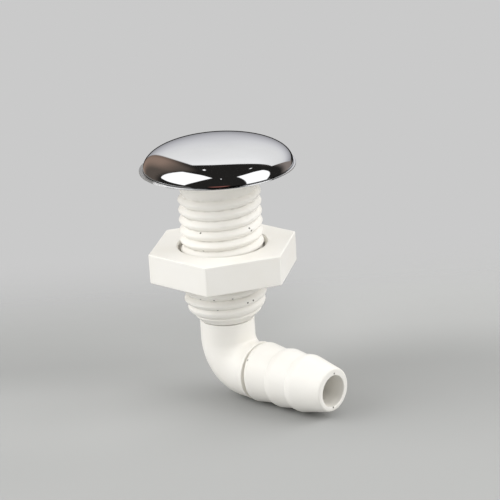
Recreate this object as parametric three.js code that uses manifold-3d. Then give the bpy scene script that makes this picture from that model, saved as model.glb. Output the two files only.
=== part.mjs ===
// Elbowed thru hull vent with a polished dome cap, in millimetres.
// The origin lies on the shank's axis, in the plane where the flange meets the hull.
// +Z points out of the hull towards the cap, and +X runs along the hose barb.
import * as THREE from 'three';
import { mergeVertices } from 'three/addons/utils/BufferGeometryUtils.js';
import Module from 'manifold-3d';

// Clearances and overruns shared by the pieces
const seatGap = 0.3; // between pieces that rest on or slide in each other
const overrun = 2; // how far a cutting or joining solid runs past a face
const weldDistance = 0.0001; // vertices nearer than this are one vertex

// Dome cap of pressed sheet
const domeRadius = 21.5;
const domeHeight = 7.5;
const domeFullness = 2.3; // exponent of the dome's outline, where 2 is an ellipse
const sheet = 0.6;
const lipWidth = 0.9;
const lipThickness = 0.4;
const ventGap = 0.5; // between the cap's lip and the hull
const rimGap = 0.7; // between the cap's wall and the flange's edge

// Waterway
const passageRadius = 4.8;
const spigotWall = 1.9;
const ledgeWidth = 1.6; // of the step under the flame screen

// Threaded body: flange and shank
const flangeThickness = 2.2;
const flangeEdge = 0.5; // chamfer round the flange
const shankLength = 44.7; // below the hull plane
const shankEndWall = 1.5; // from the bore to the thread's crest at the shank's end
const leadLength = 6.5; // of the tapered lead-in at the shank's end
const leadSteepLength = 2.4; // of the steeper slope next to the end
const leadDrop = 1.1; // from the full crest to where the two slopes meet
const leadThreadDepth = 0.35;
const shankWall = 2.1; // from the spring ring's groove to the thread's root
const threadDepth = 0.8;
const threadPitch = 3;
const threadCrestWidth = 1.7;
const threadFootWidth = 2.6;
const threadTop = 5.15; // depth of the ridge's upper end below the hull plane
const threadRunOut = 1.7; // how far the ridge's path goes on below the shank's end
const threadFadeTurns = 0.25; // over which the ridge rises from the root
const footDepth = 0.5; // how far a ridge's foot is sunk into its wall

// Insert that carries the dome
const insertThickness = 1.4;
const insertLift = 0.9; // height of the air passage between flange and insert
const insertRibCount = 3; // bars across the dome
const insertRibWidth = 1.4;
const legGap = 0.6; // between the legs and the bore
const legWidth = 5;
const legThickness = 1.5;
const legBead = 0.35; // how far the snap bead stands out of the leg
const legBeadHeight = 1.2;
const legReach = 8; // depth of the legs' ends below the hull plane
const padWidth = 4;
const padLength = 3;

// Flame screen and its spring ring, under the legs
const legClearance = 1.6; // from the legs' ends to the ring
const ringSection = 1.2; // height of the spring ring
const ringWidth = 1.5;
const ringSplit = 2.5;
const ringGroove = 0.5; // depth of the groove that holds the ring
const screenThickness = 0.6;
const screenHoleRadius = 0.6;
const screenHoleSpacing = 2.1;

// Hex nut
const nutWall = 7.25; // from the thread's crest to a flat
const nutHeight = 8.8;
const nutTop = 22.35; // depth of the nut's clamping face below the hull plane
const nutMouthWidth = 1.2; // from the thread's crest to the mouth's edge
const nutMouthDepth = 1.5;

// Elbow and hose barb
const pipeWall = 3.1;
const bendInner = 0.7; // radius of the bend's inner corner
const elbowLeg = 14.45; // from the shank's end to the barb's axis
const spigotLength = 7.5; // inside the shank
const stopReach = 2.6; // from the bend's end to the shoulder that stops the hose
const stopGroove = 0.65; // depth of the groove in front of the stop
const stopGrooveWidth = 0.8;
const barbRidgeCount = 3;
const barbHeight = 0.85; // of the first ridge
const barbCrestDrop = 0.2; // each later ridge is this much lower
const barbLength = 7.45; // from one ridge's back to the next
const barbFirstRise = 0.7; // length of the first ridge's rounded back
const barbRise = 1.9; // length of the other ridges' backs
const barbBackShare = 0.6; // of a ridge's height, reached a third of the way up its back
const barbCrestWidth = 0.7;
const noseLength = 12.6; // from the last ridge's back to the mouth
const mouthWall = 1.7;
const mouthRounding = 0.6;

// Facets
const roundSides = 36; // round the shank and its neighbours
const capSides = 60;
const domeSteps = 9;
const bendSteps = 10;
const passageSides = 28;
const holeSides = 6;
const hexSides = 6;

// Sizes and places worked out from the ones above
const lipRadius = domeRadius + lipWidth;
const lipTop = ventGap + lipThickness;
const flangeRadius = domeRadius - sheet - rimGap;
const spigotRadius = passageRadius + spigotWall;
const mainBoreRadius = spigotRadius + seatGap;
const upperBoreRadius = mainBoreRadius + ledgeWidth;
const threadRoot = upperBoreRadius + ringGroove + shankWall;
const threadRadius = threadRoot + threadDepth; // to the crest
const leadRadius = threadRadius - leadDrop;
const shankEndRadius = mainBoreRadius + shankEndWall;
const insertBottom = flangeThickness + insertLift;
const insertTop = insertBottom + insertThickness;
const legRadius = upperBoreRadius - legGap;
const ringTop = -legReach - legClearance;
const ringBottom = ringTop - ringSection;
const ringOuter = upperBoreRadius + ringGroove - seatGap;
const screenTop = ringBottom - seatGap;
const screenBottom = screenTop - screenThickness;
const ledge = screenBottom - seatGap;
const nutBore = threadRadius + seatGap;
const nutMouthRadius = threadRadius + nutMouthWidth;
const nutAcrossFlats = 2 * (threadRadius + nutWall);
const pipeRadius = passageRadius + pipeWall;
const bendRadius = bendInner + pipeRadius; // of the pipe's centre line
const hoseStop = bendRadius + stopReach;
const mouthRadius = passageRadius + mouthWall;
const elbowDrop = shankLength + elbowLeg;
const lastBarbBack = hoseStop + stopGrooveWidth + (barbRidgeCount - 1) * barbLength;
const barbTip = lastBarbBack + noseLength; // distance of the mouth from the shank's axis

const wasm = await Module();
wasm.setup();

// Closed geometry as a solid whose faces point outwards
function solid(geometry) {
  const bare = geometry.clone();
  bare.deleteAttribute('normal');
  bare.deleteAttribute('uv');
  const welded = mergeVertices(bare, weldDistance);
  const position = welded.attributes.position;
  const corners = [new THREE.Vector3(), new THREE.Vector3(), new THREE.Vector3()];
  const triangles = [];
  let volume = 0;
  for (let i = 0; i < welded.index.count; i += 3) {
    const triangle = [0, 1, 2].map((k) => welded.index.getX(i + k));
    if (new Set(triangle).size < 3) continue;
    triangles.push(triangle);
    corners.forEach((corner, k) => corner.fromBufferAttribute(position, triangle[k]));
    volume += corners[0].dot(corners[1].clone().cross(corners[2]));
  }
  if (volume < 0) triangles.forEach((triangle) => triangle.reverse());
  const mesh = new wasm.Mesh({
    numProp: 3,
    vertProperties: Float32Array.from(position.array),
    triVerts: Uint32Array.from(triangles.flat()),
  });
  return new wasm.Manifold(mesh);
}

// Solid back to a geometry with normals
function surface(body) {
  const mesh = body.getMesh();
  const geometry = new THREE.BufferGeometry();
  geometry.setAttribute('position', new THREE.BufferAttribute(mesh.vertProperties, 3));
  geometry.setIndex(new THREE.BufferAttribute(mesh.triVerts, 1));
  geometry.computeVertexNormals();
  return geometry;
}

// Outline of [radius, height] pairs turned round the Z axis
function lathe(outline, sides = roundSides) {
  const points = outline.map(([radius, height]) => new THREE.Vector2(radius, height));
  if (points[0].x > 0 || points.at(-1).x > 0) points.push(points[0].clone());
  return new THREE.LatheGeometry(points, sides).rotateX(Math.PI / 2);
}

const turned = (outline, sides) => solid(lathe(outline, sides));

// Plain round bar or disc from one height to another
const disc = (radius, low, high) => turned([[0, low], [radius, low], [radius, high], [0, high]]);

// Bars across the axis, spread evenly over half a turn
function crossBars(count, length, width, low, high, turn = 0) {
  const bars = [];
  for (let i = 0; i < count; i++) {
    const bar = new THREE.BoxGeometry(length, width, high - low);
    bar.rotateZ(turn + (i * Math.PI) / count);
    bar.translate(0, 0, (low + high) / 2);
    bars.push(solid(bar));
  }
  return bars.reduce((all, bar) => all.add(bar));
}

// Ridge wound round the Z axis by the right-hand rule, a trapezium from foot to crest.
// Its middle is at the given height where it crosses the +X side.
function windRidge({ foot, crest, footWidth, crestWidth, bottom, turns }) {
  const steps = Math.round(turns * roundSides);
  const positions = [];
  const index = [];
  for (let i = 0; i <= steps; i++) {
    const turn = i / roundSides;
    const height = bottom + threadPitch * turn;
    const nearest = Math.min(turn, turns - turn);
    const share = THREE.MathUtils.clamp(nearest / threadFadeTurns, 1 / roundSides, 1);
    const top = foot + (crest - foot) * share;
    const angle = 2 * Math.PI * turn;
    const section = [
      [foot, -footWidth / 2],
      [top, -crestWidth / 2],
      [top, crestWidth / 2],
      [foot, footWidth / 2],
    ];
    for (const [radius, offset] of section) {
      positions.push(radius * Math.cos(angle), radius * Math.sin(angle), height + offset);
    }
  }
  const corners = 4;
  for (let i = 0; i < steps; i++) {
    for (let j = 0; j < corners; j++) {
      const a = i * corners + j;
      const b = i * corners + ((j + 1) % corners);
      index.push(a, a + corners, b, b, a + corners, b + corners);
    }
  }
  const last = steps * corners;
  index.push(0, 1, 2, 0, 2, 3);
  index.push(last, last + 2, last + 1, last, last + 3, last + 2);
  const geometry = new THREE.BufferGeometry();
  geometry.setAttribute('position', new THREE.Float32BufferAttribute(positions, 3));
  geometry.setIndex(index);
  return solid(geometry);
}

// Outline of the dome from its foot to its top, drawn in by the given amount
function domeArc(inset) {
  const arc = [];
  for (let i = 0; i < domeSteps; i++) {
    const angle = (i * Math.PI) / 2 / domeSteps;
    const radius = (domeRadius - inset) * Math.cos(angle) ** (2 / domeFullness);
    arc.push([radius, lipTop + (domeHeight - inset) * Math.sin(angle) ** (2 / domeFullness)]);
  }
  arc.push([0, lipTop + domeHeight - inset]);
  return arc;
}

// Radius of the drawn-in dome at a height
function domeRadiusAt(height, inset) {
  const share = (height - lipTop) / (domeHeight - inset);
  return (domeRadius - inset) * (1 - share ** domeFullness) ** (1 / domeFullness);
}

function capShell() {
  const outline = [
    ...domeArc(0).reverse(),
    [lipRadius, lipTop],
    [lipRadius, ventGap],
    [domeRadius - sheet, ventGap],
    ...domeArc(sheet),
  ];
  return turned(outline, capSides);
}

// Disc that follows the dome's wall, bars that back the dome, pads on the flange and legs in the bore
function capInsert() {
  const inset = sheet + seatGap;
  const overlap = insertThickness / 2;
  const plate = turned([
    [0, insertBottom],
    [domeRadiusAt(insertBottom, inset), insertBottom],
    [domeRadiusAt(insertTop, inset), insertTop],
    [0, insertTop],
  ]);
  const underDome = turned([[0, lipTop], ...domeArc(inset)], capSides);
  const span = 2 * domeRadius;
  const bars = crossBars(insertRibCount, span, insertRibWidth, insertTop - overlap, lipTop + domeHeight);
  const legBottom = -legReach;
  const beadRadius = legRadius + legBead;
  const legTube = turned([
    [legRadius - legThickness, insertTop - overlap],
    [legRadius - legThickness, legBottom],
    [legRadius, legBottom],
    [beadRadius, legBottom + legBeadHeight / 2],
    [legRadius, legBottom + legBeadHeight],
    [legRadius, insertTop - overlap],
  ]);
  const legs = legTube.intersect(crossBars(2, span, legWidth, legBottom - overrun, insertTop));
  const padOuter = flangeRadius - flangeEdge;
  const padRing = turned([
    [padOuter - padLength, flangeThickness + seatGap],
    [padOuter, flangeThickness + seatGap],
    [padOuter, insertTop - overlap],
    [padOuter - padLength, insertTop - overlap],
  ]);
  const pads = padRing.intersect(crossBars(2, span, padWidth, 0, insertTop, Math.PI / 4));
  return plate.add(underDome.intersect(bars)).add(legs).add(pads.intersect(underDome));
}

// Flange and shank with the stepped bore, the grooves for the legs' beads and the spring ring
function threadedBody() {
  const beadGroove = upperBoreRadius + seatGap;
  const beadMiddle = legBeadHeight / 2 - legReach;
  const wall = turned([
    [mainBoreRadius, -shankLength],
    [shankEndRadius - leadThreadDepth, -shankLength],
    [leadRadius - leadThreadDepth, leadSteepLength - shankLength],
    [threadRoot, leadLength - shankLength],
    [threadRoot, 0],
    [flangeRadius - flangeEdge, 0],
    [flangeRadius, flangeEdge],
    [flangeRadius, flangeThickness - flangeEdge],
    [flangeRadius - flangeEdge, flangeThickness],
    [upperBoreRadius, flangeThickness],
    [upperBoreRadius, beadMiddle + legBeadHeight],
    [beadGroove, beadMiddle + seatGap],
    [beadGroove, beadMiddle - seatGap],
    [upperBoreRadius, beadMiddle - legBeadHeight],
    [upperBoreRadius, ringTop + seatGap],
    [upperBoreRadius + ringGroove, ringTop + seatGap],
    [upperBoreRadius + ringGroove, ringBottom - seatGap],
    [upperBoreRadius, ringBottom - seatGap],
    [upperBoreRadius, ledge],
    [mainBoreRadius, ledge],
  ]);
  const envelope = turned([
    [0, -shankLength],
    [shankEndRadius, -shankLength],
    [leadRadius, leadSteepLength - shankLength],
    [threadRadius, leadLength - shankLength],
    [threadRadius + overrun, leadLength - shankLength],
    [threadRadius + overrun, 0],
    [0, 0],
  ]);
  const pathLength = shankLength + threadRunOut - threadTop;
  const thread = windRidge({
    foot: threadRoot - footDepth,
    crest: threadRadius,
    footWidth: threadFootWidth,
    crestWidth: threadCrestWidth,
    bottom: -shankLength - threadRunOut,
    turns: Math.round((pathLength * roundSides) / threadPitch) / roundSides,
  });
  return wall.add(thread.intersect(envelope));
}

// Disc with rings of holes inside the spring ring, the middle hole included
function flameScreen() {
  const room = ringOuter - ringWidth - screenHoleRadius;
  const rows = Math.floor(room / screenHoleSpacing);
  let plate = disc(upperBoreRadius - seatGap, screenBottom, screenTop);
  for (let q = -rows; q <= rows; q++) {
    for (let r = -rows; r <= rows; r++) {
      if (Math.abs(q + r) > rows) continue;
      const hole = new THREE.CylinderGeometry(screenHoleRadius, screenHoleRadius, overrun, holeSides);
      hole.rotateX(Math.PI / 2);
      const across = screenHoleSpacing * (q + r / 2);
      const along = (screenHoleSpacing * r * Math.sqrt(3)) / 2;
      hole.translate(across, along, (screenTop + screenBottom) / 2);
      plate = plate.subtract(solid(hole));
    }
  }
  return plate;
}

function screenRing() {
  const ring = turned([
    [ringOuter - ringWidth, ringBottom],
    [ringOuter, ringBottom],
    [ringOuter, ringTop],
    [ringOuter - ringWidth, ringTop],
  ]);
  const split = new THREE.BoxGeometry(ringOuter + overrun, ringSplit, ringSection + overrun);
  split.translate((ringOuter + overrun) / 2, 0, (ringBottom + ringTop) / 2);
  return ring.subtract(solid(split));
}

// Nut from its clamping face at zero downwards, with two of its corners on the X axis
function hexNut() {
  const corner = nutAcrossFlats / 2 / Math.cos(Math.PI / hexSides);
  const hex = new THREE.CylinderGeometry(corner, corner, nutHeight, hexSides);
  hex.rotateX(Math.PI / 2);
  hex.rotateZ(Math.PI / 2);
  hex.translate(0, 0, -nutHeight / 2);
  const bore = turned([
    [0, -nutHeight - overrun],
    [nutMouthRadius, -nutHeight - overrun],
    [nutMouthRadius, -nutHeight],
    [nutBore, nutMouthDepth - nutHeight],
    [nutBore, -nutMouthDepth],
    [nutMouthRadius, 0],
    [nutMouthRadius, overrun],
    [0, overrun],
  ]);
  const turns = Math.ceil((nutHeight + threadPitch) / threadPitch);
  // The groove keeps in step with the shank's ridge at the place where the nut rests
  const lead = (nutTop - shankLength - threadRunOut) / threadPitch;
  const groove = windRidge({
    foot: nutBore - footDepth,
    crest: nutBore + threadDepth,
    footWidth: threadFootWidth + 2 * seatGap,
    crestWidth: threadCrestWidth + seatGap,
    bottom: (lead - Math.floor(lead) - turns) * threadPitch,
    turns: turns + 1,
  });
  return solid(hex).subtract(bore).subtract(groove);
}

// Down the shank's axis, round a quarter bend and out along the barb, its steps spent on the bend
class ElbowRoute extends THREE.Curve {
  constructor(top, end) {
    super();
    this.top = new THREE.Vector3(0, 0, top);
    this.end = new THREE.Vector3(end, 0, 0);
  }

  getPoint(share) {
    const station = share * (bendSteps + 2) - 1;
    const turn = (THREE.MathUtils.clamp(station / bendSteps, 0, 1) * Math.PI) / 2;
    const onBend = new THREE.Vector3(1 - Math.cos(turn), 0, 1 - Math.sin(turn)).multiplyScalar(bendRadius);
    if (station < 0) return this.top.clone().lerp(onBend, station + 1);
    if (station > bendSteps) return onBend.lerp(this.end, station - bendSteps);
    return onBend;
  }

  getPointAt(share) {
    return this.getPoint(share);
  }

  getTangentAt(share) {
    return this.getTangent(share);
  }
}

function pipeAlong(route, radius, sides) {
  const circle = new THREE.Shape().absarc(0, 0, radius, 0, 2 * Math.PI);
  const settings = {
    steps: bendSteps + 2,
    curveSegments: sides / 2,
    bevelEnabled: false,
    extrudePath: route,
  };
  return solid(new THREE.ExtrudeGeometry(circle, settings));
}

// Outline of the hose barb from the stop groove to the mouth, as [radius, distance] pairs
function barbOutline() {
  const outline = [
    [0, hoseStop - overrun],
    [pipeRadius - stopGroove, hoseStop - overrun],
    [pipeRadius - stopGroove, hoseStop + stopGrooveWidth],
  ];
  for (let i = 0; i < barbRidgeCount; i++) {
    const height = barbHeight - i * barbCrestDrop;
    const back = hoseStop + stopGrooveWidth + i * barbLength;
    const rise = i > 0 ? barbRise : barbFirstRise;
    outline.push([pipeRadius, back]);
    outline.push([pipeRadius + height * barbBackShare, back + rise / 3]);
    outline.push([pipeRadius + height, back + rise]);
    outline.push([pipeRadius + height, back + rise + barbCrestWidth]);
  }
  outline.push([mouthRadius, barbTip - mouthRounding]);
  outline.push([mouthRadius - mouthRounding, barbTip]);
  outline.push([0, barbTip]);
  return outline;
}

// Elbow about the crossing of the shank's axis and the barb's axis
function elbowTail() {
  const pipe = pipeAlong(new ElbowRoute(elbowLeg - seatGap, hoseStop), pipeRadius, roundSides);
  const spigot = disc(spigotRadius, bendRadius, elbowLeg + spigotLength);
  const barb = solid(lathe(barbOutline()).rotateY(Math.PI / 2));
  const route = new ElbowRoute(elbowLeg + spigotLength + overrun, barbTip + overrun);
  return pipe.add(spigot).add(barb).subtract(pipeAlong(route, passageRadius, passageSides));
}

const polished = { color: 0xd9dbde, roughness: 0.05, metalness: 1 };
const stainless = { color: 0xb9bcc0, roughness: 0.35, metalness: 1 };
const moulding = { color: 0xf4f2ea, roughness: 0.35, metalness: 0 };
const hidden = { color: 0xe9e6dc, roughness: 0.5, metalness: 0 };

function piece(name, body, look) {
  const mesh = new THREE.Mesh(surface(body), new THREE.MeshStandardMaterial(look));
  mesh.name = name;
  return mesh;
}

const cap = new THREE.Group();
cap.add(piece('cap_shell', capShell(), polished));
cap.add(piece('cap_insert', capInsert(), hidden));

const screen = new THREE.Group();
screen.add(piece('flame_screen', flameScreen(), stainless));
screen.add(piece('screen_ring', screenRing(), stainless));

const nut = piece('hex_nut', hexNut(), moulding);
nut.position.z = -nutTop;

const elbow = piece('elbow_tail', elbowTail(), moulding);
elbow.position.z = -elbowDrop;

const fitting = new THREE.Group();
fitting.add(piece('threaded_body', threadedBody(), moulding), cap, screen, nut, elbow);

export default fitting;
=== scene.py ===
"""Looks of an elbowed hull vent with a polished dome cap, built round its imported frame.

Shapes are made in millimetres and become metres when they are finished. As in the frame,
the shank stands on +Z, its flange meets the hull at zero, and the hose barb points along +X.
"""

import math
from types import SimpleNamespace

import bmesh
import bpy
from bpy.props import FloatProperty, FloatVectorProperty, PointerProperty
from mathutils import Matrix, Vector


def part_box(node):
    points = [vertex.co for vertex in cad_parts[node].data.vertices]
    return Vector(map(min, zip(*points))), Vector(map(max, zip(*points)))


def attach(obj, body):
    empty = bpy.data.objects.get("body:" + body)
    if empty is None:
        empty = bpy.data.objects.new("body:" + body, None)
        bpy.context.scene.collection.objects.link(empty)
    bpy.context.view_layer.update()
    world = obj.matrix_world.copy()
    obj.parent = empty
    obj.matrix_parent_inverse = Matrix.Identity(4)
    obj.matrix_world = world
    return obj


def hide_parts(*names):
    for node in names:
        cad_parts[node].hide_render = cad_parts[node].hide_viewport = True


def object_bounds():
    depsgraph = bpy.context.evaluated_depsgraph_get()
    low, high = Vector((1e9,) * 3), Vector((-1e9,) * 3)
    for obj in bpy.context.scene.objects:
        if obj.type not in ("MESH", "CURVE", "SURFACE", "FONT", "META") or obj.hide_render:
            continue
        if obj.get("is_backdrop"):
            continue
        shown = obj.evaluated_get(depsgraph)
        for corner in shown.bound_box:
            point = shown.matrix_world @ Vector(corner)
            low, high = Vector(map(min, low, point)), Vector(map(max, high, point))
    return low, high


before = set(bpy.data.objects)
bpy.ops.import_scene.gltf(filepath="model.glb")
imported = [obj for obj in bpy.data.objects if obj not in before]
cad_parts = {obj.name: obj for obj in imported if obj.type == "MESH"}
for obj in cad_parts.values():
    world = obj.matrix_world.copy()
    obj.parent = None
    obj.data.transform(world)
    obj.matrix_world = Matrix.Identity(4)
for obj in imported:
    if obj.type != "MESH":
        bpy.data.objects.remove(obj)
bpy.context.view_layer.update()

bl_info = {
    "name": "Hull Vent",
    "version": (1, 0, 0),
    "blender": (4, 5, 0),
    "location": "View3D > Sidebar > Hull Vent",
    "description": "Builds the mouldings and the polished cap of an elbowed hull vent",
    "category": "Object",
}

MM = 0.001
SHELL_LOW, SHELL_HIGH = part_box("cap_shell")
BODY_LOW, BODY_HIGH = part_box("threaded_body")
NUT_LOW, NUT_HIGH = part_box("hex_nut")
ELBOW_LOW, ELBOW_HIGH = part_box("elbow_tail")

# Tolerances in millimetres: between points that are one, across a seam, and of a level
WELD = 0.0005
SEAM = 0.003
LEVEL = 0.001


def length(name, description, default):
    """Property for a size of a piece, in metres."""
    return FloatProperty(name=name, description=description, default=default, min=0, unit="LENGTH")


def colour(name, description, default):
    """Property for a colour."""
    return FloatVectorProperty(
        name=name, description=description, default=default, min=0, max=1, size=3, subtype="COLOR"
    )


class CapSizes(bpy.types.PropertyGroup):
    lip_radius: length("Lip radius", "From the axis to the lip's edge", SHELL_HIGH.x)
    lip_bottom: length("Lip height", "Of the lip's underside above the hull", SHELL_LOW.z)
    apex: length("Apex height", "Of the dome's top above the hull", SHELL_HIGH.z)
    lip_width: length("Lip width", "From the dome's foot to the lip's edge", 0.0009)
    lip_thickness: length("Lip thickness", "Thickness of the turned-out lip", 0.0004)
    sheet: length("Sheet", "Thickness of the pressed sheet", 0.0006)
    fullness: FloatProperty(
        name="Fullness", description="Exponent of the dome's outline", default=2.3, min=1, max=6
    )
    offset: length("Dome offset", "Of the dome from the middle of its trimmed lip", 0.00025)


class ShankSizes(bpy.types.PropertyGroup):
    flange_radius: length("Flange radius", "From the axis to the flange's edge", BODY_HIGH.x)
    flange_thickness: length("Flange thickness", "Above the hull plane", BODY_HIGH.z)
    depth: length("Shank length", "Below the hull plane", -BODY_LOW.z)
    crest: length("Crest radius", "Of the thread's crest", 0.012)
    thread_depth: length("Thread depth", "From crest to root", 0.0012)
    pitch: length("Pitch", "Rise of the thread in one turn", 0.003)
    thread_start: length("Thread start", "Of the ridge below the shank's end, over +X", 0.0017)
    turns: FloatProperty(
        name="Turns", description="Of the thread from its start to its run-out", default=13.85, min=1
    )
    end_radius: length("End radius", "Of the shank's end", 0.0079)
    lead: length("Lead-in", "Length of the tapered end", 0.0065)
    neck: length("Neck", "Length without a thread below the flange", 0.0039)
    bore: length("Bore radius", "Of the bore below the screen", 0.007)
    upper_bore: length("Upper bore radius", "Of the bore above the screen's ledge", 0.0086)
    bead: length("Bead depth", "Of the groove for the legs' beads below the hull plane", 0.0074)
    bead_groove: length("Bead groove", "How far that groove is cut into the bore", 0.0003)
    ring_top: length("Ring's top", "Of the spring ring's groove below the hull plane", 0.0093)
    ring_bottom: length("Ring's bottom", "Of the spring ring's groove below the hull plane", 0.0111)
    ring_groove: length("Ring groove", "How far that groove is cut into the bore", 0.0005)
    ledge: length("Ledge depth", "Of the screen's ledge below the hull plane", 0.012)


class NutSizes(bpy.types.PropertyGroup):
    corner: length("Corner radius", "From the axis to a corner", NUT_HIGH.x)
    top: length("Nut depth", "Of the clamping face below the hull plane", -NUT_HIGH.z)
    bottom: length("Nut bottom", "Of the lower face below the hull plane", -NUT_LOW.z)
    bore: length("Nut bore radius", "Of the land between the thread's turns", 0.0123)
    mouth: length("Mouth radius", "Of the countersink at each face", 0.0132)
    mouth_depth: length("Mouth depth", "Of the countersink", 0.0009)
    thread_depth: length("Thread depth", "Of the grooves between the turns", 0.0008)
    edge: length("Edge rounding", "Of the nut's outer edges", 0.0004)


class ElbowSizes(bpy.types.PropertyGroup):
    tip: length("Mouth distance", "From the shank's axis to the barb's mouth", ELBOW_HIGH.x)
    spigot_top: length("Spigot depth", "Of the spigot's upper end below the hull", -ELBOW_HIGH.z)
    pipe: length("Pipe radius", "Outside radius of the elbow", -ELBOW_LOW.x)
    axis_depth: length("Barb depth", "Of the barb's axis below the hull", 0.05915)
    pipe_top: length("Pipe depth", "Of the pipe's upper end below the hull", 0.045)
    bend: length("Bend radius", "Of the bend's centre line", 0.0086)
    passage: length("Passage radius", "Inside radius of the elbow", 0.0046)
    spigot: length("Spigot radius", "Of the end inside the shank", 0.0067)
    stop: length("Stop distance", "From the shank's axis to the hose stop", 0.01185)
    swell: length("Swell", "Growth of the pipe's radius round the bend", 0.0002)
    collar: length("Collar height", "Of the hose stop above the pipe", 0.00055)
    stop_face: length("Stop height", "Of the face that stops the hose", 0.0015)
    groove: length("Groove width", "Of the groove in front of the stop", 0.0008)
    barb_pitch: length("Ridge spacing", "From one ridge to the next", 0.00745)
    wall: length("Mouth wall", "Thickness of the barb's wall at its mouth", 0.0017)
    sag: length("Passage sag", "Of the passage below the barb's middle at its mouth", 0.0004)


# Heights of the barb's ridges above the pipe, from the shank outwards, in millimetres
RIDGE_HEIGHTS = (0.78, 0.65, 0.45)


class Finishes(bpy.types.PropertyGroup):
    plastic: colour("Plastic", "Colour of the white mouldings", (0.878, 0.858, 0.812))
    insert: colour("Insert", "Colour of the insert under the dome", (0.78, 0.765, 0.70))
    polished: colour("Polished metal", "Colour of the dome", (0.86, 0.865, 0.875))
    stainless: colour("Stainless metal", "Colour of the screen and its ring", (0.60, 0.605, 0.62))
    # Colour of the painted shade in the thread's grooves, tinted like grime
    groove_shade: colour("Groove shade", "Colour of the dirt in the grooves", (0.30, 0.27, 0.21))


class StudioSettings(bpy.types.PropertyGroup):
    background: colour("Background", "Colour behind the object", (0.591, 0.591, 0.591))
    floor: colour("Floor", "Colour of the floor", (0.362, 0.364, 0.357))
    fill: FloatProperty(name="Fill", description="Strength of the soft light all round", default=0.755)
    lamps: FloatProperty(
        name="Lamps", description="Power of the soft lamps together", default=15.5, unit="POWER"
    )
    lens: FloatProperty(
        name="Lens", description="Focal length on a 36 mm sensor", default=202.25, min=10
    )


def sizes_of(group):
    """Values of a property group, its lengths in millimetres."""
    values = {}
    for name in group.__annotations__:
        unit = group.bl_rna.properties[name].unit
        value = getattr(group, name)
        values[name] = value / MM if unit == "LENGTH" else value
    return SimpleNamespace(**values)


# Shapes


def eased(outline, hold=0.06, segments=4):
    """Outline of (radius, height, rounding) corners as points, each corner rounded and held.

    A corner without a rounding stays as it is.
    """
    points = []
    count = len(outline)
    for i, (radius, height, *rest) in enumerate(outline):
        corner = Vector((radius, height))
        rounding = rest[0] if rest else 0
        if not rounding:
            points.append(corner)
            continue
        before = Vector(outline[i - 1][:2])
        after = Vector(outline[(i + 1) % count][:2])
        back = (before - corner).normalized()
        onward = (after - corner).normalized()
        points.append(corner + back * (rounding + hold))
        for k in range(segments + 1):
            share = k / segments
            start = corner + back * rounding * (1 - share)
            end = corner + onward * rounding * share
            points.append(start.lerp(end, share))
        points.append(corner + onward * (rounding + hold))
    return [tuple(point) for point in points]


def turned(bm, points, steps):
    """Closed outline of (radius, height) points turned round the Z axis."""
    verts = [bm.verts.new((radius, 0, height)) for radius, height in points]
    edges = [bm.edges.new(pair) for pair in zip(verts, verts[1:] + verts[:1])]
    bmesh.ops.spin(
        bm, geom=verts + edges, cent=(0, 0, 0), axis=(0, 0, 1), dvec=(0, 0, 0),
        angle=math.tau, steps=steps, use_merge=True, use_normal_flip=False, use_duplicate=False,
    )
    bmesh.ops.remove_doubles(bm, verts=bm.verts, dist=WELD)
    on_axis = [edge for edge in bm.edges if not edge.link_faces]
    bmesh.ops.delete(bm, geom=on_axis, context="EDGES")


def new_ring(bm, ring):
    """Extrudes a ring of edges in place. Returns the new ring's edges and vertices."""
    made = bmesh.ops.extrude_edge_only(bm, edges=ring)["geom"]
    verts = [item for item in made if isinstance(item, bmesh.types.BMVert)]
    fresh = set(verts)
    edges = [
        item for item in made
        if isinstance(item, bmesh.types.BMEdge) and fresh.issuperset(item.verts)
    ]
    return edges, verts


def drawn_to(bm, ring, radius, height):
    """Extrudes a ring about the Z axis to a radius and a height, and returns the new ring."""
    ring, verts = new_ring(bm, ring)
    for vert in verts:
        vert.co.xy *= radius / vert.co.xy.length
        vert.co.z = height
    return ring


def open_ring(bm, height):
    """Edges of the open border at a height."""
    return [
        edge for edge in bm.edges
        if edge.is_boundary and all(abs(vert.co.z - height) < LEVEL for vert in edge.verts)
    ]


def flat_face(bm, rings):
    """Fills the level face between two rings of edges."""
    bmesh.ops.triangle_fill(bm, edges=rings, use_beauty=True, use_dissolve=False, normal=(0, 0, 1))


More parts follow.
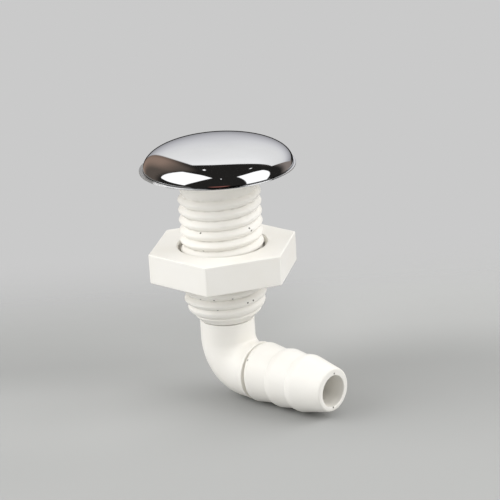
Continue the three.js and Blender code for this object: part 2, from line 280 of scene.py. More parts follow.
def wound_wall(bm, radius_at, phase, pitch, low, high, steps=160):
    """Wall wound in step with a right-hand thread, then cut flat at two heights.

    The phase is the height of a ridge's middle over +X. radius_at takes the turn, the height
    and the distance from the nearest ridge's middle as a share of half the pitch. The wall has
    its points at such shares, which lie closer towards the sharp corner between two ridges.
    """
    shares = [0.0, 0.2, 0.4, 0.55, 0.67, 0.77, 0.85, 0.91, 0.96, 1.0]
    offsets = [-share for share in reversed(shares)] + shares[1:]
    first = math.floor((low - phase) / pitch - 0.5) - 1
    turns = math.ceil((high - phase) / pitch - first + 0.5) + 1
    middle = phase + first * pitch
    verts = [bm.verts.new((1, 0, middle + offset * pitch / 2)) for offset in offsets]
    edges = [bm.edges.new(pair) for pair in zip(verts, verts[1:])]
    bmesh.ops.spin(
        bm, geom=verts + edges, cent=(0, 0, 0), axis=(0, 0, 1), dvec=(0, 0, pitch / steps),
        angle=math.tau, steps=steps, use_merge=False, use_normal_flip=False, use_duplicate=False,
    )
    one_turn = bm.verts[:] + bm.edges[:] + bm.faces[:]
    for turn in range(1, turns):
        copy = bmesh.ops.duplicate(bm, geom=one_turn)["geom"]
        moved = [item for item in copy if isinstance(item, bmesh.types.BMVert)]
        bmesh.ops.translate(bm, vec=(0, 0, pitch * turn), verts=moved)
    bmesh.ops.remove_doubles(bm, verts=bm.verts, dist=SEAM)
    for vert in bm.verts:
        turn = math.atan2(vert.co.y, vert.co.x) / math.tau
        ridges = (vert.co.z - phase) / pitch - turn
        offset = abs(ridges - round(ridges)) * 2
        vert.co.xy *= radius_at(turn + round(ridges), vert.co.z, offset) / vert.co.xy.length
    for height, side in ((low, -1), (high, 1)):
        geometry = bm.verts[:] + bm.edges[:] + bm.faces[:]
        bmesh.ops.bisect_plane(
            bm, geom=geometry, plane_co=(0, 0, height), plane_no=(0, 0, side), clear_outer=True
        )


def smooth_step(share):
    """Smooth rise from zero to one."""
    share = min(max(share, 0), 1)
    return share * share * (3 - 2 * share)


def ridge_share(offset):
    """Height of a rounded ridge, as a share, at an offset from its middle to its foot."""
    return 1 - min(offset, 1) ** 1.6


def along(points, place):
    """Value at a place on a line through (place, value) points, in rising places."""
    if place <= points[0][0]:
        return points[0][1]
    for (a, low), (b, high) in zip(points, points[1:]):
        if place <= b:
            return low + (high - low) * (place - a) / (b - a)
    return points[-1][1]


def finished(bm, name, material, body, slot, *nodes, sharp=math.radians(38)):
    """Mesh as a finished piece in metres, riding on its body in place of its CAD nodes."""
    bmesh.ops.scale(bm, vec=(MM, MM, MM), verts=bm.verts)
    bmesh.ops.recalc_face_normals(bm, faces=bm.faces)
    for face in bm.faces:
        face.smooth = True
    mesh = bpy.data.meshes.new(name)
    bm.to_mesh(mesh)
    bm.free()
    mesh.set_sharp_from_angle(angle=sharp)
    mesh.materials.append(material)
    piece = bpy.data.objects.new(name, mesh)
    bpy.context.scene.collection.objects.link(piece)
    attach(piece, body)
    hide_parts(*nodes)
    return piece


# Finishes

# Dark specks of dirt that the photo shows, in millimetres
SHANK_SPECKS = [
    (2.2, -11.0, -15.9), (11.6, -0.7, -15.7), (12.0, -0.3, -16.5), (2.7, -10.8, -21.2),
    (0.8, -11.4, -36.1), (5.0, -10.2, -35.9), (9.1, -6.8, -35.7), (11.6, -3.2, -37.5),
    (11.9, -1.2, -37.3), (5.5, -9.5, -39.1),
]
ELBOW_SPECKS = [(13.1, -6.5, -53.6), (39.5, -0.4, -64.3), (39.4, 0.7, -54.4)]
SPECK_CORE, SPECK_EDGE = 0.18, 0.36
SPECK_COLOUR = (0.05, 0.045, 0.04)


class Socket:
    """Shader socket, so that maths on sockets reads as maths."""

    def __init__(self, shader, output):
        self.shader = shader
        self.output = output

    def maths(self, operation, *values):
        return self.shader.maths(operation, self, *values)

    def __add__(self, other):
        return self.maths("ADD", other)

    def __sub__(self, other):
        return self.maths("SUBTRACT", other)

    def __rsub__(self, other):
        return self.shader.maths("SUBTRACT", other, self)

    def __mul__(self, other):
        return self.maths("MULTIPLY", other)

    __radd__ = __add__
    __rmul__ = __mul__

    def between(self, low, high):
        """Smooth step from zero at low to one at high."""
        values = {"Value": self, "From Min": low, "From Max": high}
        return self.shader.node("ShaderNodeMapRange", {"interpolation_type": "SMOOTHSTEP"}, values)


class Shader:
    """Node tree of a material or a world, filled one node at a time."""

    def __init__(self, owner):
        owner.use_nodes = True
        self.owner = owner
        self.tree = owner.node_tree
        self.tree.nodes.clear()

    def node(self, kind, settings, values, output=0):
        """Adds a node, sets it up and fills its sockets. Returns the wanted output."""
        node = self.tree.nodes.new(kind)
        for name, setting in settings.items():
            if name == "stops":
                self.set_stops(node.color_ramp, setting)
            else:
                setattr(node, name, setting)
        for name, value in values.items():
            if isinstance(value, Socket):
                self.tree.links.new(value.output, node.inputs[name])
            elif isinstance(value, (tuple, list)) and node.inputs[name].type == "RGBA":
                node.inputs[name].default_value = (*value, 1)
            else:
                node.inputs[name].default_value = value
        return Socket(self, node.outputs[output]) if node.outputs else node

    def set_stops(self, ramp, stops):
        """Gives a colour ramp its stops, each a position and a grey or a colour."""
        while len(ramp.elements) < len(stops):
            ramp.elements.new(1)
        for element, (position, shade) in zip(ramp.elements, stops):
            element.position = position
            element.color = (*shade, 1) if isinstance(shade, tuple) else (shade, shade, shade, 1)

    def maths(self, operation, *values):
        return self.node("ShaderNodeMath", {"operation": operation}, dict(enumerate(values)))

    def vector(self, operation, *values, output=0):
        settings = {"operation": operation}
        return self.node("ShaderNodeVectorMath", settings, dict(enumerate(values)), output)

    def mix(self, share, first, second):
        """Colour between two colours."""
        values = {0: share, 6: first, 7: second}
        return self.node("ShaderNodeMix", {"data_type": "RGBA"}, values, 2)

    def place(self):
        return self.node("ShaderNodeTexCoord", {}, {}, "Object")

    def height(self, place):
        return self.node("ShaderNodeSeparateXYZ", {}, {"Vector": place}, "Z")

    def reach(self, place, direction):
        """Distance from the middle, measured along a direction."""
        return self.vector("DOT_PRODUCT", place, tuple(direction), output="Value")

    def flat_distance(self, place):
        """Distance from the shank's axis."""
        return self.vector("LENGTH", self.vector("MULTIPLY", place, (1, 1, 0)), output="Value")

    def noise(self, place, scale, detail=2.0):
        values = {"Vector": place, "Scale": scale, "Detail": detail}
        return self.node("ShaderNodeTexNoise", {}, values, "Fac")

    def bump(self, height, distance, strength):
        values = {"Height": height, "Distance": distance, "Strength": strength}
        return self.node("ShaderNodeBump", {}, values)

    def principled(self, values):
        surface = self.node("ShaderNodeBsdfPrincipled", {}, values)
        self.node("ShaderNodeOutputMaterial", {}, {"Surface": surface})
        return self.owner


def white_plastic(name, base, groove_shade, painted_shade=None, specks=()):
    """Moulded white plastic. Patchy painted shade, tinted like grime, darkens it where the given mask
    is one.
    """
    shader = Shader(bpy.data.materials.new(name))
    place = shader.place()
    clouds = shader.noise(place, 90.0, 3.0)
    grain = shader.noise(place, 2600.0, 2.0)
    aged = tuple(c * share for c, share in zip(base, (0.975, 0.97, 0.955)))
    shade = shader.mix(clouds.between(0.3, 0.75), base, aged)
    if painted_shade:
        # Patchy painted shade, tinted like grime, where the mask is one
        patchy_shade = painted_shade(shader, place) * shader.noise(place, 420.0, 3.0).between(0.35, 0.8)
        shade = shader.mix(patchy_shade * 0.35, shade, groove_shade)
    for speck in specks:
        away = shader.vector("DISTANCE", place, tuple(c * MM for c in speck), output="Value")
        spot = 1 - away.between(SPECK_CORE * MM, SPECK_EDGE * MM)
        shade = shader.mix(spot * 0.95, shade, SPECK_COLOUR)
    dots = shader.node("ShaderNodeTexVoronoi", {}, {"Vector": place, "Scale": 260.0}, "Distance")
    rare = shader.noise(place, 130.0, 1.0).between(0.66, 0.72)
    shade = shader.mix((1 - dots.between(0.03, 0.07)) * rare * 0.8, shade, (0.09, 0.08, 0.07))
    return shader.principled({
        "Base Color": shade,
        "Roughness": 0.34 + 0.1 * clouds,
        "IOR": 1.46,
        "Normal": shader.bump(grain + 3.0 * clouds, 0.00001, 0.5),
    })


def polished_metal(base, rim, foot, offset):
    """Polished sheet, with the faint cloudiness and hairlines of handling.

    A dark line of painted shade sits in the corner between the dome and its lip. The lip is dulled
    on one side, where a painted reflection tone makes it whitish near the front and dark grey further
    round.
    The dome's middle is the given offset away from the axis.
    """
    shader = Shader(bpy.data.materials.new("polished_sheet"))
    place = shader.place()
    smears = shader.noise(place, 120.0, 4.0)
    hairlines = shader.noise(shader.vector("MULTIPLY", place, (1.0, 14.0, 1.0)), 900.0, 2.0)
    tone = shader.mix(smears.between(0.35, 0.7), base, tuple(c * 0.97 for c in base))
    flat = shader.flat_distance(shader.vector("SUBTRACT", place, tuple(RIGHT * offset)))
    side = shader.reach(place, -RIGHT)
    # Lip on the side away from the camera's right: duller and less metallic, with a painted reflection
    # tone, whitish near the front and dark grey further round
    dull_painted_lip = flat.between(rim + 0.05 * MM, rim + 0.15 * MM) * side.between(14.0 * MM, 15.0 * MM)
    painted_lip_tone = shader.mix(side.between(17.5 * MM, 18.5 * MM), (0.72, 0.72, 0.72), (0.27, 0.27, 0.265))
    tone = shader.mix(dull_painted_lip, tone, painted_lip_tone)
    # Painted shade: a dark line round the dome's foot, in the corner where it meets the lip
    painted_crevice_shade = 1 - shader.height(place).between(foot + 0.15 * MM, foot + 0.3 * MM)
    painted_crevice_shade = painted_crevice_shade * (1 - flat.between(rim + 0.05 * MM, rim + 0.16 * MM))
    tone = shader.mix(painted_crevice_shade * 0.9, tone, (0.02, 0.02, 0.02))
    worn = 0.03 * smears.between(0.4, 0.8) + 0.02 * hairlines.between(0.6, 0.75)
    return shader.principled({
        "Base Color": tone,
        "Metallic": 1 - 0.85 * dull_painted_lip,
        "Roughness": 0.03 + worn + 0.25 * dull_painted_lip,
        "Normal": shader.bump(smears, 0.000004, 0.3),
    })


def plain_metal(base):
    """Rolled stainless sheet and wire, brushed one way."""
    shader = Shader(bpy.data.materials.new("rolled_stainless"))
    place = shader.place()
    brushed = shader.noise(shader.vector("MULTIPLY", place, (1.0, 22.0, 22.0)), 300.0, 3.0)
    return shader.principled({
        "Base Color": shader.mix(brushed, base, tuple(c * 0.85 for c in base)),
        "Metallic": 1.0,
        "Roughness": 0.28 + 0.14 * brushed,
        "Normal": shader.bump(brushed, 0.000008, 0.5),
    })


def dressed(node, material):
    """CAD node with a better material."""
    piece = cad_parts[node]
    piece.data.materials.clear()
    piece.data.materials.append(material)


# Pieces


class HULLVENT_OT_cap(bpy.types.Operator):
    """Press the polished dome with its turned-out lip"""

    bl_idname = "hullvent.cap"
    bl_label = "Polished cap"

    def execute(self, context):
        size = sizes_of(context.scene.vent_cap)
        foot = size.lip_bottom + size.lip_thickness
        radius = size.lip_radius - size.lip_width
        hold, fillet, inner_fillet = 0.02, 0.12, 0.15

        def dome(inset, steps=56, crowding=1.15):
            """Outline of the dome, drawn in by an inset, with closer steps near its foot."""
            arc = []
            for i in range(1, steps):
                angle = math.pi / 2 * (i / steps) ** crowding
                out = (radius - inset) * math.cos(angle) ** (2 / size.fullness)
                rise = (size.apex - foot - inset) * math.sin(angle) ** (2 / size.fullness)
                arc.append((out, foot + rise))
            return arc

        def on_outside(vert, least=0.97):
            """Whether a vertex lies on the dome's outside, where its outline's share is one."""
            across = vert.co.xy.length
            share = (across / radius) ** size.fullness
            share += (max(vert.co.z - foot, 0) / (size.apex - foot)) ** size.fullness
            level = vert.co.z > foot - hold / 2 and across < radius + fillet + 2 * hold
            return level and share > least

        edge = size.lip_thickness / 2 - hold
        outline = eased([
            (radius - size.sheet, size.lip_bottom, inner_fillet),
            (size.lip_radius, size.lip_bottom, edge),
            (size.lip_radius, foot, edge),
            (radius, foot, fillet),
            *(point for point in dome(0) if point[1] > foot + fillet + 2 * hold),
            (0, size.apex),
            (0, size.apex - size.sheet),
            *reversed(dome(size.sheet)),
            (radius - size.sheet, foot),
        ], hold=hold)
        bm = bmesh.new()
        turned(bm, outline, 200)
        outside = [vert for vert in bm.verts if on_outside(vert)]
        bmesh.ops.translate(bm, vec=RIGHT * size.offset, verts=outside)
        base = tuple(context.scene.vent_finishes.polished)
        metal = polished_metal(base, radius * MM, foot * MM, size.offset * MM)
        finished(bm, "cap_dome", metal, "cap", "polished_cap", "cap_shell")
        return {"FINISHED"}


class HULLVENT_OT_shank(bpy.types.Operator):
    """Mould the flange and the threaded shank with its stepped bore"""

    bl_idname = "hullvent.shank"
    bl_label = "Threaded shank"

    def execute(self, context):
        size = sizes_of(context.scene.vent_shank)
        finishes = context.scene.vent_finishes
        root = size.crest - size.thread_depth
        end, neck = -size.depth, -size.neck
        run_out = 0.5
        # The lead-in's crest and root, as radii at heights above the shank's end
        lead_crest = [
            (0, size.end_radius), (0.5, 8.2), (1.3, 9.15), (3.2, 10.9), (size.lead, size.crest),
        ]
        lead_root = [
            (0, size.end_radius), (0.5, 8.15), (1.3, 8.9), (2.4, 9.45), (3.9, 10.2), (size.lead, root),
        ]

        def radius_at(turn, height, offset):
            ridge = size.thread_depth * ridge_share(offset)
            ridge *= smooth_step((size.turns - turn) / run_out)
            wall = along(lead_root, height - end)
            return min(wall + ridge, along(lead_crest, height - end))

        bm = bmesh.new()
        wound_wall(bm, radius_at, end - size.thread_start, size.pitch, end, neck)
        bore = size.upper_bore
        beads, ring_seat = bore + size.bead_groove, bore + size.ring_groove
        outline = eased([
            (root, neck),
            (root, 0, 0.25),
            (size.flange_radius, 0, 0.45),
            (size.flange_radius, size.flange_thickness, 0.45),
            (bore, size.flange_thickness, 0.3),
            (bore, 1.2 - size.bead), (beads, 0.3 - size.bead),
            (beads, -0.3 - size.bead), (bore, -1.2 - size.bead),
            (bore, -size.ring_top), (ring_seat, -size.ring_top),
            (ring_seat, -size.ring_bottom), (bore, -size.ring_bottom),
            (bore, -size.ledge), (size.bore, -size.ledge),
            (size.bore, end, 0.2),
            (size.bore + 0.55, end),
        ])[1:-1]
        ring, lower = open_ring(bm, neck), open_ring(bm, end)
        for radius, height in outline:
            ring = drawn_to(bm, ring, radius, height)
        flat_face(bm, ring + lower)

        # Mask for painted shade at the foot of the thread's grooves
        def painted_shade(shader, place):
            """One at the foot of the thread's grooves and zero elsewhere."""
            height = shader.height(place)
            threaded = height.between((end + 5) * MM, (end + 7) * MM)
            threaded = threaded * (1 - height.between(-7 * MM, -5 * MM))
            raised = shader.flat_distance(place).between(root * MM, (root + 0.5) * MM)
            return (1 - raised) * threaded

        plastic = white_plastic(
            "shank_plastic", tuple(finishes.plastic), tuple(finishes.groove_shade), painted_shade, SHANK_SPECKS
        )
        finished(bm, "shank_moulding", plastic, "fitting", "white_moulding", "threaded_body")
        return {"FINISHED"}


class HULLVENT_OT_nut(bpy.types.Operator):
    """Mould the hex nut with its thread and countersunk mouths"""

    bl_idname = "hullvent.nut"
    bl_label = "Hex nut"

    def execute(self, context):
        size = sizes_of(context.scene.vent_nut)
        shank = sizes_of(context.scene.vent_shank)
        finishes = context.scene.vent_finishes
        top, bottom = -size.top, -size.bottom
        cone = [
            (bottom, size.mouth), (bottom + size.mouth_depth, size.bore),
            (top - size.mouth_depth, size.bore), (top, size.mouth),
        ]

        def radius_at(turn, height, offset):
            groove = size.thread_depth * ridge_share(offset)
            return max(size.bore + groove, along(cone, height))

        bm = bmesh.new()
        start = -shank.depth - shank.thread_start
        wound_wall(bm, radius_at, start, shank.pitch, bottom, top)
        loops = []
        for height in (top, bottom):
            ring = open_ring(bm, height)
            for margin in (0.12, 0.5):
                ring = drawn_to(bm, ring, size.mouth + margin, height)
            loops.append(ring)
        place = Matrix.Translation((0, 0, bottom)) @ Matrix.Rotation(math.pi / 6, 4, "Z")
        verts = bmesh.ops.create_circle(
            bm, segments=6, radius=size.corner, cap_ends=True, matrix=place
        )["verts"]
        floor = verts[0].link_faces[:]
        made = bmesh.ops.extrude_face_region(bm, geom=floor, use_keep_orig=True)["geom"]
        raised = [item for item in made if isinstance(item, bmesh.types.BMVert)]
        bmesh.ops.translate(bm, vec=(0, 0, top - bottom), verts=raised)
        corners = set(verts + raised)
        edges = [edge for edge in bm.edges if corners.issuperset(edge.verts)]
        bmesh.ops.bevel(
            bm, geom=edges, offset=size.edge, offset_type="OFFSET", segments=3, profile=0.5,
            affect="EDGES", material=-1, clamp_overlap=True,
        )
        for ring, height in zip(loops, (top, bottom)):
            ends = [
                face for face in bm.faces
                if face.calc_area() > size.corner ** 2
                and abs(face.calc_center_median().z - height) < size.edge / 2
            ]
            outer = [edge for face in ends for edge in face.edges]
            bmesh.ops.delete(bm, geom=ends, context="FACES_ONLY")
            flat_face(bm, ring + outer)
        plastic = white_plastic("nut_plastic", tuple(finishes.plastic), tuple(finishes.groove_shade))
        piece = finished(
            bm, "nut_moulding", plastic, "nut", "white_moulding", "hex_nut", sharp=math.radians(50)
        )
        weighted = piece.modifiers.new("Flat faces", "WEIGHTED_NORMAL")
        weighted.keep_sharp = True
        return {"FINISHED"}


class HULLVENT_OT_elbow(bpy.types.Operator):
    """Mould the elbow with its spigot, hose stop and ridged barb"""

    bl_idname = "hullvent.elbow"
    bl_label = "Elbow and barb"

    def execute(self, context):
        size = sizes_of(context.scene.vent_elbow)
        finishes = context.scene.vent_finishes
        turn_height = size.bend - size.axis_depth

        def upright(radius, height):
            """Station on the shank's axis."""
            return Matrix.Translation((0, 0, height)) @ Matrix.Scale(radius, 4)

        def outward(radius, distance, drop=0, lean=0):
            """Station on the barb's axis, or a drop below it. A lean takes its foot outwards."""
            place = Matrix.Translation((distance, 0, -size.axis_depth - drop))
            return place @ Matrix.Rotation(-math.pi / 2 - lean, 4, "Y") @ Matrix.Scale(radius, 4)

        def round_bend(radius, count, swell=0):
            """Stations round the bend, whose inner side keeps its place where the pipe swells."""
            centre = Matrix.Translation((size.bend, 0, turn_height))
            stations = []
            for i in range(1, count):
                growth = swell * smooth_step(i / count)
                arm = Matrix.Translation((-size.bend - growth, 0, 0)) @ Matrix.Scale(radius + growth, 4)
                stations.append(centre @ Matrix.Rotation(-math.pi / 2 * i / count, 4, "Y") @ arm)
            return stations

        spigot_bottom = -size.pipe_top
        upper = eased([
            (size.passage, -size.spigot_top, 0.3),
            (size.spigot, -size.spigot_top, 0.4),
            (size.spigot, spigot_bottom),
            (size.pipe, spigot_bottom, 0.15),
            (size.pipe, turn_height),
        ])
        collar = size.pipe + size.collar
        groove = collar - size.stop_face
        first_back = size.stop + size.groove + 0.25
        first_rise = 0.65
        crests = [size.pipe + height for height in RIDGE_HEIGHTS]
        ridges = [
            (size.pipe + 0.35, first_back, 0.1),
            (crests[0], first_back + first_rise, 0.15),
            (crests[0], first_back + first_rise + 0.5, 0.2),
        ]
        for i in range(1, len(crests)):
            back = first_back + i * size.barb_pitch
            ridges += [
                (size.pipe - 0.08, back),
                (size.pipe + RIDGE_HEIGHTS[i] * 0.6, back + 0.55, 0.1),
                (crests[i], back + 1.9, 0.15),
                (crests[i], back + 2.6, 0.2),
            ]
        inner_edge = 0.25
        shoulder = eased([
            (size.pipe + 0.35, size.stop - 1.6, 0.4), (collar, size.stop - 0.8, 0.3),
            (collar, size.stop, 0.12), (collar - 0.5, size.stop),
        ])[:-1]
        barb = eased([
            (groove, size.stop),
            (groove, size.stop + size.groove, 0.05),
            *ridges,
            (size.passage + size.wall, size.tip, 0.55),
            (size.passage, size.tip, inner_edge),
            (size.passage, size.bend),
        ])
        stations = [upright(*point) for point in upper]
        stations += round_bend(size.pipe, 30, size.swell)
        stations += [outward(size.pipe + size.swell, size.bend, size.swell)]
        stations += [outward(*point) for point in shoulder]
        for radius, distance in barb:
            # The groove's far side leans, so that the groove is wider below than above
            far_side = size.stop + size.groove / 2 < distance < first_back + first_rise * 0.7
            lean = math.radians(4) if far_side else 0
            at_mouth = radius < size.passage + 2 * inner_edge and distance > size.tip - 2 * inner_edge
            drop = size.sag if at_mouth else 0
            stations.append(outward(radius, distance, drop, lean))
        stations += reversed(round_bend(size.passage, 20))
        stations += [upright(size.passage, turn_height)]
        bm = bmesh.new()
        bmesh.ops.create_circle(bm, segments=112, radius=1, cap_ends=False, matrix=stations[0])
        first = ring = bm.edges[:]
        for before, after in zip(stations, stations[1:]):
            ring, verts = new_ring(bm, ring)
            bmesh.ops.transform(bm, matrix=after @ before.inverted(), verts=verts)
        bmesh.ops.bridge_loops(bm, edges=first + ring)
        plastic = white_plastic(
            "elbow_plastic", tuple(finishes.plastic), tuple(finishes.groove_shade), None, ELBOW_SPECKS
        )
        finished(bm, "elbow_moulding", plastic, "fitting", "white_moulding", "elbow_tail")
        return {"FINISHED"}


class HULLVENT_OT_inner_parts(bpy.types.Operator):
    """Finish the insert under the dome, the flame screen and its spring ring"""

    bl_idname = "hullvent.inner_parts"
    bl_label = "Parts inside"

    def execute(self, context):
        finishes = context.scene.vent_finishes
        steel = plain_metal(tuple(finishes.stainless))
        insert = white_plastic("insert_plastic", tuple(finishes.insert), tuple(finishes.groove_shade))
        dressed("flame_screen", steel)
        dressed("screen_ring", steel)
        dressed("cap_insert", insert)
        return {"FINISHED"}


# Studio

CAMERA_TURN = math.radians(43.0)
CAMERA_RISE = math.radians(18.74)
CAMERA_ROLL = math.radians(-3.54)
CAMERA_PLACE = (0.52747, -0.55419, 0.23447)
TOWARD = Vector((math.sin(CAMERA_TURN), -math.cos(CAMERA_TURN), 0))
RIGHT = Vector((math.cos(CAMERA_TURN), math.sin(CAMERA_TURN), 0))
UP = Vector((0, 0, 1))

# What the dome mirrors, as corners seen from it: shares towards the camera, to its right and up
PALE_SCREEN = [
    (-0.96, -0.27, -0.04), (-0.54, -0.21, 0.82), (-0.48, 0, 0.88), (-0.46, 0.21, 0.86),
    (-0.27, 0.72, 0.64), (-0.49, 0.76, 0.44), (-0.7, 0.7, 0.12), (-0.79, 0.61, -0.04),
]
LEFT_PANEL = [
    (-0.14, -0.97, 0.2), (-0.24, -0.45, 0.86), (0.13, -0.27, 0.95), (0.5, -0.13, 0.85),
    (0.71, -0.55, 0.44), (0.6, -0.79, -0.07), (0.11, -0.99, 0.07),
]
RIGHT_PANEL = [
    (0.51, 0.38, 0.78), (0.11, 0.6, 0.79), (-0.07, 0.74, 0.67), (0.02, 0.9, 0.43),
    (0.12, 0.95, -0.3), (0.65, 0.62, -0.44), (0.74, 0.6, 0.29),
]
# Small lamps overhead: towards the camera, to its right, and strength
GLINTS = [(-0.26, -0.16, 1.5), (-0.17, 0.42, 1.2), (0.65, 0.05, 1.2)]
# Tones of the pale screen, from its foot upwards
SCREEN_TONES = [
    (0.0, (0.22, 0.22, 0.23)), (0.1, (0.27, 0.27, 0.285)), (0.2, (0.33, 0.33, 0.35)),
    (0.3, (0.43, 0.43, 0.455)), (0.4, (0.56, 0.56, 0.585)), (0.53, (0.72, 0.72, 0.735)),
    (0.65, 0.795), (0.9, 0.88), (1.0, 0.95),
]
# Soft lamps that face the object: metres towards the camera, to its right and up, width in
# metres, and share of the power
LAMPS = {
    "left": ((0.25, -0.85, 0.65), 0.7, 0.32),
    "right": ((0.2, 0.85, 0.6), 0.7, 0.31),
    "back_left": ((-0.35, -0.9, 0.45), 0.6, 0.12),
    "back_right": ((-0.35, 0.9, 0.5), 0.6, 0.15),
    "low": ((0.6, -0.75, 0.1), 0.5, 0.06),
}


def in_studio(toward, right, up):
    """Place or direction given towards the camera, to its right and up."""
    return TOWARD * toward + RIGHT * right + UP * up


def inside_cone(shader, direction, corners, softness):
    """One within the cone through the corners and zero outside it."""
    points = [in_studio(*corner).normalized() for corner in corners]
    centre = sum(points, Vector())
    mask = None
    for a, b in zip(points, points[1:] + points[:1]):
        normal = a.cross(b).normalized()
        normal *= math.copysign(1, normal.dot(centre))
        edge = shader.reach(direction, normal).between(-softness, softness)
        mask = edge if mask is None else mask * edge
    return mask


def mirrored_room(shader):
    """Colour of what the dome mirrors: a dark, partly warm room with a screen and lights."""
    direction = shader.node("ShaderNodeTexCoord", {}, {}, "Generated")
    height = shader.height(direction)
    across = shader.reach(direction, RIGHT)
    away = shader.reach(direction, -TOWARD)
    warm = shader.mix(
        (1 - height.between(0.5, 0.85)) * across.between(-0.7, -0.38),
        (0.10, 0.082, 0.07), (0.28, 0.2, 0.16),
    )
    warm_side = (1 - across.between(-0.35, -0.2)) * away.between(0.1, 0.45)
    brown_side = across.between(0.45, 0.6) * away.between(0.25, 0.62)
    red_foot = (1 - away.between(-0.98, -0.93)) * (1 - height.between(-0.2, -0.13))
    room = shader.mix(warm_side, (0.018, 0.017, 0.016), warm)
    room = shader.mix(brown_side, room, (0.24, 0.205, 0.19))
    room = shader.mix(red_foot, room, (0.32, 0.12, 0.1))
    pale = shader.node("ShaderNodeValToRGB", {"stops": SCREEN_TONES}, {"Fac": height + 0.2})
    room = shader.mix(inside_cone(shader, direction, PALE_SCREEN, 0.012), room, pale)
    for panel in (LEFT_PANEL, RIGHT_PANEL):
        room = shader.mix(inside_cone(shader, direction, panel, 0.02), room, (1.25, 1.25, 1.25))
    for toward, right, strength in GLINTS:
        sideways, inwards = (across - right) * 1.5, (away + toward) * 0.7
        apart = (sideways * sideways + inwards * inwards).maths("SQRT")
        spot = (1 - apart.between(0.01, 0.035)) * height.between(0.0, 0.1)
        room = shader.mix(spot, room, (strength, strength, strength))
    return room


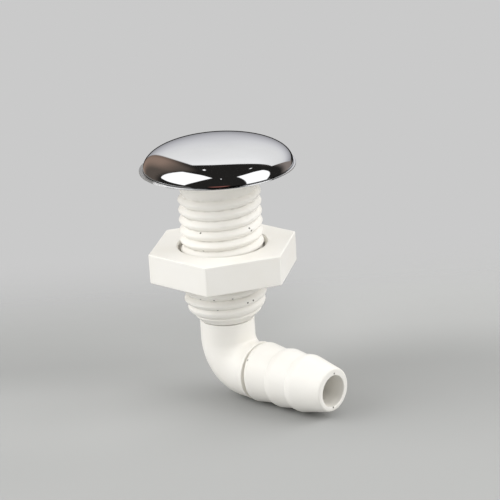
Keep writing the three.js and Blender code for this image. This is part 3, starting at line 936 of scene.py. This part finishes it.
class HULLVENT_OT_studio(bpy.types.Operator):
    """Set up the floor, the lights, the surroundings and the camera"""

    bl_idname = "hullvent.studio"
    bl_label = "Studio"

    def execute(self, context):
        settings = context.scene.vent_studio
        self.make_world(settings)
        self.make_floor(settings)
        self.make_lights(settings)
        self.make_camera(settings)
        context.scene.view_settings.view_transform = "Standard"
        return {"FINISHED"}

    def make_world(self, settings):
        shader = Shader(bpy.data.worlds.new("studio"))
        bpy.context.scene.world = shader.owner

        def backdrop(shade, strength=1.0):
            values = {"Color": shade, "Strength": strength}
            return shader.node("ShaderNodeBackground", {}, values)

        def seen_by(ray):
            return shader.node("ShaderNodeLightPath", {}, {}, ray)

        def either(share, first, second):
            return shader.node("ShaderNodeMixShader", {}, {0: share, 1: first, 2: second})

        fill = backdrop((1.0, 1.0, 1.0), settings.fill)
        light = either(seen_by("Is Glossy Ray"), fill, backdrop(mirrored_room(shader)))
        direct = seen_by("Is Camera Ray").maths("MAXIMUM", seen_by("Is Transmission Ray"))
        light = either(direct, light, backdrop(tuple(settings.background)))
        shader.node("ShaderNodeOutputWorld", {}, {"Surface": light})

    def make_floor(self, settings):
        bm = bmesh.new()
        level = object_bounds()[0].z
        bmesh.ops.create_circle(
            bm, segments=96, radius=0.45, cap_ends=True, matrix=Matrix.Translation((0, 0, level))
        )
        bmesh.ops.recalc_face_normals(bm, faces=bm.faces)
        mesh = bpy.data.meshes.new("floor")
        bm.to_mesh(mesh)
        bm.free()
        if mesh.polygons[0].normal.z < 0:
            mesh.flip_normals()
        mesh.materials.append(self.paper(settings))
        floor = bpy.data.objects.new("floor", mesh)
        bpy.context.scene.collection.objects.link(floor)
        floor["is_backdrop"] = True

    def paper(self, settings):
        """Pale paper whose tone drifts as the photo's does, through painted light and shade: paler in
        front of the object, darker behind it, and paler again in patches to its left and right. It
        fades into the background.
        """
        shader = Shader(bpy.data.materials.new("paper"))
        place = shader.place()
        behind = shader.reach(place, -TOWARD)
        across = shader.reach(place, RIGHT)
        far = shader.vector("LENGTH", place, output="Value")
        painted_front_light = tuple(c * 1.1 for c in settings.floor)
        painted_patch_light = tuple(c * 1.19 for c in settings.floor)
        # Painted light and shade: paler in front of the object, the plain floor colour behind it
        shade = shader.mix(behind.between(-0.06, 0.0), painted_front_light, tuple(settings.floor))
        # Painted light to the object's right and behind it
        shade = shader.mix(across.between(0.0, 0.04) * behind.between(0.01, 0.05), shade, painted_patch_light)
        # Painted light to the object's left, over the shadow that the lamps cast there
        left = (1 - across.between(-0.04, 0.0)) * behind.between(-0.06, -0.02)
        shade = shader.mix(left * (1 - behind.between(0.0, 0.03)), shade, painted_patch_light)
        fibres = shader.noise(place, 1500.0, 3.0)
        paper = shader.node("ShaderNodeBsdfPrincipled", {}, {
            "Base Color": shade, "Roughness": 0.9, "Specular IOR Level": 0.1,
            "Normal": shader.bump(fibres, 0.00002, 0.3),
        })
        clear = shader.node("ShaderNodeBsdfTransparent", {}, {})
        fade = behind.between(0.045, 0.13).maths("MAXIMUM", far.between(0.17, 0.26))
        surface = shader.node("ShaderNodeMixShader", {}, {0: fade, 1: paper, 2: clear})
        shader.node("ShaderNodeOutputMaterial", {}, {"Surface": surface})
        return shader.owner

    def make_lights(self, settings):
        for name, (place, width, share) in LAMPS.items():
            light = bpy.data.lights.new(name, "AREA")
            light.shape = "SQUARE"
            light.size = width
            light.energy = settings.lamps * share
            lamp = bpy.data.objects.new(name, light)
            lamp.location = in_studio(*place)
            lamp.rotation_euler = (-lamp.location).to_track_quat("-Z", "Y").to_euler()
            lamp.visible_glossy = False
            bpy.context.scene.collection.objects.link(lamp)

    def make_camera(self, settings):
        data = bpy.data.cameras.new("photo_camera")
        data.sensor_width = 36.0
        data.lens = settings.lens
        data.clip_start, data.clip_end = 0.05, 20.0
        camera = bpy.data.objects.new("photo_camera", data)
        back = TOWARD * math.cos(CAMERA_RISE) + UP * math.sin(CAMERA_RISE)
        level_up = back.cross(RIGHT)
        right = RIGHT * math.cos(CAMERA_ROLL) + level_up * math.sin(CAMERA_ROLL)
        up = level_up * math.cos(CAMERA_ROLL) - RIGHT * math.sin(CAMERA_ROLL)
        axes = Matrix((right, up, back)).transposed().to_4x4()
        camera.matrix_world = Matrix.Translation(CAMERA_PLACE) @ axes
        bpy.context.scene.collection.objects.link(camera)
        bpy.context.scene.camera = camera


class HULLVENT_PT_panel(bpy.types.Panel):
    bl_label = "Hull Vent"
    bl_idname = "HULLVENT_PT_panel"
    bl_space_type = "VIEW_3D"
    bl_region_type = "UI"
    bl_category = "Hull Vent"

    def draw(self, context):
        for operator in OPERATORS:
            self.layout.operator(operator.bl_idname)
        for name in GROUPS:
            group = getattr(context.scene, name)
            box = self.layout.box()
            for item in group.__annotations__:
                box.prop(group, item)


GROUPS = {
    "vent_cap": CapSizes,
    "vent_shank": ShankSizes,
    "vent_nut": NutSizes,
    "vent_elbow": ElbowSizes,
    "vent_finishes": Finishes,
    "vent_studio": StudioSettings,
}
OPERATORS = (
    HULLVENT_OT_cap,
    HULLVENT_OT_shank,
    HULLVENT_OT_nut,
    HULLVENT_OT_elbow,
    HULLVENT_OT_inner_parts,
    HULLVENT_OT_studio,
)
CLASSES = (*GROUPS.values(), *OPERATORS, HULLVENT_PT_panel)


def register():
    for item in CLASSES:
        bpy.utils.register_class(item)
    for name, group in GROUPS.items():
        setattr(bpy.types.Scene, name, PointerProperty(type=group))


def unregister():
    for name in GROUPS:
        delattr(bpy.types.Scene, name)
    for item in reversed(CLASSES):
        bpy.utils.unregister_class(item)


def main():
    register()
    bpy.ops.hullvent.cap()
    bpy.ops.hullvent.shank()
    bpy.ops.hullvent.nut()
    bpy.ops.hullvent.elbow()
    bpy.ops.hullvent.inner_parts()
    bpy.ops.hullvent.studio()


if __name__ == "__main__":
    main()
